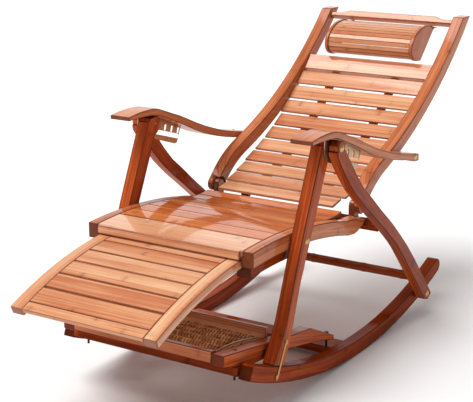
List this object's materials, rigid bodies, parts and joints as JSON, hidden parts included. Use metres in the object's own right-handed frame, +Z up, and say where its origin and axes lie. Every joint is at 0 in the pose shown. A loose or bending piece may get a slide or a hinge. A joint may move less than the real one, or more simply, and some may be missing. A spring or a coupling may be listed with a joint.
{
  "type": "folding bamboo rocking chair",
  "caption": "Folding rocking chair of lacquered bamboo with slatted seat and reclining back, head pillow, armrests on toothed racks, a pull-out footrest and a tray of foot rollers.",
  "frame": {"origin": "on the floor, under the middle of the chair's bounding box, with the rockers resting at y = +0.0635", "axes": "+Z up, -Y toward the front where the footrest is, +X toward the sitter's left"},
  "size_m": [0.642, 1.6429, 0.845],
  "materials": {
    "seat_bamboo": "glossy clear lacquer over steamed bamboo",
    "slat_bamboo": "glossy clear lacquer over carbonised bamboo",
    "frame_bamboo": "glossy clear lacquer over laminated bamboo",
    "mid_bamboo": "glossy clear lacquer over laminated bamboo",
    "dark_bamboo": "glossy clear lacquer over darker laminated bamboo",
    "pole_bamboo": "lacquered round bamboo pole",
    "roller_bamboo": "satin bamboo",
    "rack_steel": "yellow zinc plated sheet steel",
    "brass": "brass plated steel",
    "black_screw": "black oxide"
  },
  "bodies": {
    "base": {"left_rocker": "dark_bamboo", "right_rocker": "dark_bamboo", "front_cross_rail": "dark_bamboo", "rear_cross_rail": "dark_bamboo", "tray_left_rail": "frame_bamboo", "tray_right_rail": "frame_bamboo", "tray_front_rail": "mid_bamboo", "tray_back_board": "slat_bamboo", "tray_ribs": "roller_bamboo", "tray_bolts": "black_screw", "hook_pins": "brass"},
    "rear_frame": {"left_rear_leg": "frame_bamboo", "right_rear_leg": "frame_bamboo", "bamboo_pole": "pole_bamboo", "seat_rest_bar": "dark_bamboo", "rocker_bolts": "brass", "top_pivot_bolts": "brass"},
    "front_frame": {"left_front_leg": "frame_bamboo", "right_front_leg": "frame_bamboo", "rack_pins": "brass", "seat_pivot_bolts": "brass", "hook_screws": "brass"},
    "seat": {"left_seat_rail": "mid_bamboo", "right_seat_rail": "mid_bamboo", "front_seat_slat": "slat_bamboo", "seat_slats": "seat_bamboo", "seat_cross_rail": "dark_bamboo", "footrest_runners": "dark_bamboo", "back_pivot_pins": "brass"},
    "footrest": {"left_footrest_rail": "slat_bamboo", "right_footrest_rail": "slat_bamboo", "footrest_slats": "slat_bamboo", "footrest_battens": "dark_bamboo"},
    "back": {"left_back_rail": "mid_bamboo", "right_back_rail": "mid_bamboo", "top_rail": "slat_bamboo", "back_cross_rail": "slat_bamboo", "back_slats": "slat_bamboo", "back_battens": "dark_bamboo", "pillow_hinges": "brass"},
    "head_pillow": {"pillow_ends": "mid_bamboo", "pillow_slats": "slat_bamboo", "pillow_hinge_leaves": "brass"},
    "arms": {"arm_pivot_bolts": "brass", "left_armrest": "mid_bamboo", "right_armrest": "mid_bamboo", "left_rack_plate": "rack_steel", "right_rack_plate": "rack_steel"},
    "left_hook": {"left_hook": "brass"},
    "right_hook": {"right_hook": "brass"},
    "roller_1": {"roller_1": "roller_bamboo"},
    "roller_2": {"roller_2": "roller_bamboo"},
    "roller_3": {"roller_3": "roller_bamboo"},
    "roller_4": {"roller_4": "roller_bamboo"},
    "roller_5": {"roller_5": "roller_bamboo"}
  },
  "joints": [
    {"name": "frame_lift", "type": "hinge", "parent": "base", "child": "rear_frame", "pos_m": [0, 0.40845, 0.068], "axis": [1, 0, 0], "range_deg": [-46, 0]},
    {"name": "frame_fold", "type": "hinge", "parent": "rear_frame", "child": "front_frame", "pos_m": [0, -0.16855, 0.625], "axis": [1, 0, 0], "range_deg": [0, 58]},
    {"name": "seat_fold", "type": "hinge", "parent": "front_frame", "child": "seat", "pos_m": [0, -0.27855, 0.408], "axis": [1, 0, 0], "range_deg": [0, 31]},
    {"name": "back_recline", "type": "hinge", "parent": "seat", "child": "back", "pos_m": [0, 0.09845, 0.4], "axis": [1, 0, 0], "range_deg": [0, 46]},
    {"name": "arm_follow", "type": "hinge", "parent": "back", "child": "arms", "pos_m": [0, 0.31141, 0.506], "axis": [1, 0, 0], "range_deg": [-36, 0]},
    {"name": "footrest_slide", "type": "hinge", "parent": "seat", "child": "footrest", "pos_m": [0, -0.38055, -0.698], "axis": [1, 0, 0], "range_deg": [-16.7, 0]},
    {"name": "pillow_tilt", "type": "hinge", "parent": "back", "child": "head_pillow", "pos_m": [0, 0.77731, 0.8067], "axis": [1, 0, 0], "range_deg": [-30, 0]},
    {"name": "left_hook_swing", "type": "hinge", "parent": "front_frame", "child": "left_hook", "pos_m": [0, -0.38055, 0.174], "axis": [1, 0, 0], "range_deg": [0, 60]},
    {"name": "right_hook_swing", "type": "hinge", "parent": "front_frame", "child": "right_hook", "pos_m": [0, -0.38055, 0.174], "axis": [1, 0, 0], "range_deg": [0, 60]},
    {"name": "roller_1_spin", "type": "hinge", "parent": "base", "child": "roller_1", "pos_m": [0, -0.5381, 0.18843], "axis": [1, 0, 0], "continuous": true},
    {"name": "roller_2_spin", "type": "hinge", "parent": "base", "child": "roller_2", "pos_m": [0, -0.49808, 0.18514], "axis": [1, 0, 0], "continuous": true},
    {"name": "roller_3_spin", "type": "hinge", "parent": "base", "child": "roller_3", "pos_m": [0, -0.45846, 0.17949], "axis": [1, 0, 0], "continuous": true},
    {"name": "roller_4_spin", "type": "hinge", "parent": "base", "child": "roller_4", "pos_m": [0, -0.41925, 0.17152], "axis": [1, 0, 0], "continuous": true},
    {"name": "roller_5_spin", "type": "hinge", "parent": "base", "child": "roller_5", "pos_m": [0, -0.38044, 0.1612], "axis": [1, 0, 0], "continuous": true}
  ],
  "couplings": [
    {"joint": "frame_lift", "follows": "frame_fold", "ratio": -0.78},
    {"joint": "seat_fold", "follows": "frame_fold", "ratio": 0.52},
    {"joint": "arm_follow", "follows": "back_recline", "ratio": -0.775}
  ]
}
